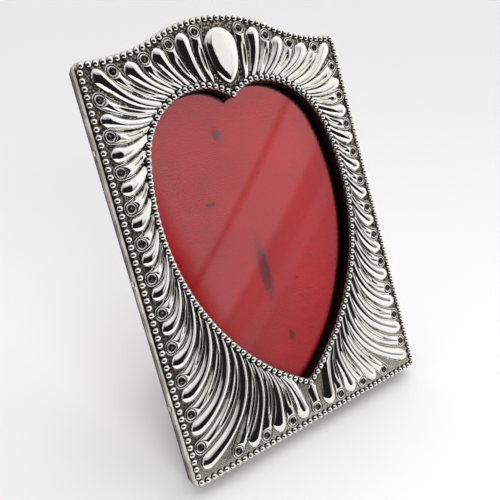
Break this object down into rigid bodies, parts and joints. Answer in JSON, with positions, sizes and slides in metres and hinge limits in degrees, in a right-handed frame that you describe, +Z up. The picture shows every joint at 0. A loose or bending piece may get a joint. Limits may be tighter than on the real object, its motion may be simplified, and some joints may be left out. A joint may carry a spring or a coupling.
{
  "type": "standing photo frame",
  "caption": "Standing photo frame with a heart-shaped window in an embossed silver front, wooden core, glass, lift-out back, turn buttons and a hinged easel leg.",
  "frame": {"origin": "middle of the narrow flat at the foot of the wooden core, on the surface the frame stands on", "axes": "+Z up, the front faces -Y and leans back by 25 degrees, +X to the right of someone looking at the front"},
  "size_m": [0.1296, 0.0866, 0.1675],
  "materials": {
    "silver": "polished silver, dark in the hollows",
    "core_wood": "black-brown stain",
    "glass": "clear",
    "red_card": "matt red paper",
    "back_wood": "polished mahogany",
    "brass": "aged",
    "steel": "plain"
  },
  "bodies": {
    "frame": {"silver_front": "silver", "outer_beading": "silver", "inner_beading": "silver", "front_pins": "silver", "core": "core_wood", "glass": "glass", "spacer": "core_wood", "lining_card": "red_card", "back_board": "back_wood", "button_pins": "brass", "hinge_plate": "brass", "hinge_plate_nails": "brass", "hinge_pin": "steel"},
    "easel_leg": {"leg": "back_wood", "leg_leaf": "brass", "leg_leaf_nails": "brass"},
    "button_upper_left": {"turn_button_upper_left": "brass"},
    "button_upper_right": {"turn_button_upper_right": "brass"},
    "button_lower_left": {"turn_button_lower_left": "brass"},
    "button_lower_right": {"turn_button_lower_right": "brass"}
  },
  "joints": [
    {"name": "leg_fold", "type": "hinge", "parent": "frame", "child": "easel_leg", "pos_m": [0, 0.04926, 0.0996], "axis": [1, 0, 0], "range_deg": [-38, 0]},
    {"name": "button_upper_left_turn", "type": "hinge", "parent": "frame", "child": "button_upper_left", "pos_m": [-0.05662, 0.05412, 0.11499], "axis": [0, 0.9063, -0.4226], "range_deg": [-90, 90]},
    {"name": "button_upper_right_turn", "type": "hinge", "parent": "frame", "child": "button_upper_right", "pos_m": [0.05662, 0.05412, 0.11499], "axis": [0, 0.9063, -0.4226], "range_deg": [-90, 90]},
    {"name": "button_lower_left_turn", "type": "hinge", "parent": "frame", "child": "button_lower_left", "pos_m": [-0.05662, 0.02031, 0.04249], "axis": [0, 0.9063, -0.4226], "range_deg": [-90, 90]},
    {"name": "button_lower_right_turn", "type": "hinge", "parent": "frame", "child": "button_lower_right", "pos_m": [0.05662, 0.02031, 0.04249], "axis": [0, 0.9063, -0.4226], "range_deg": [-90, 90]}
  ]
}
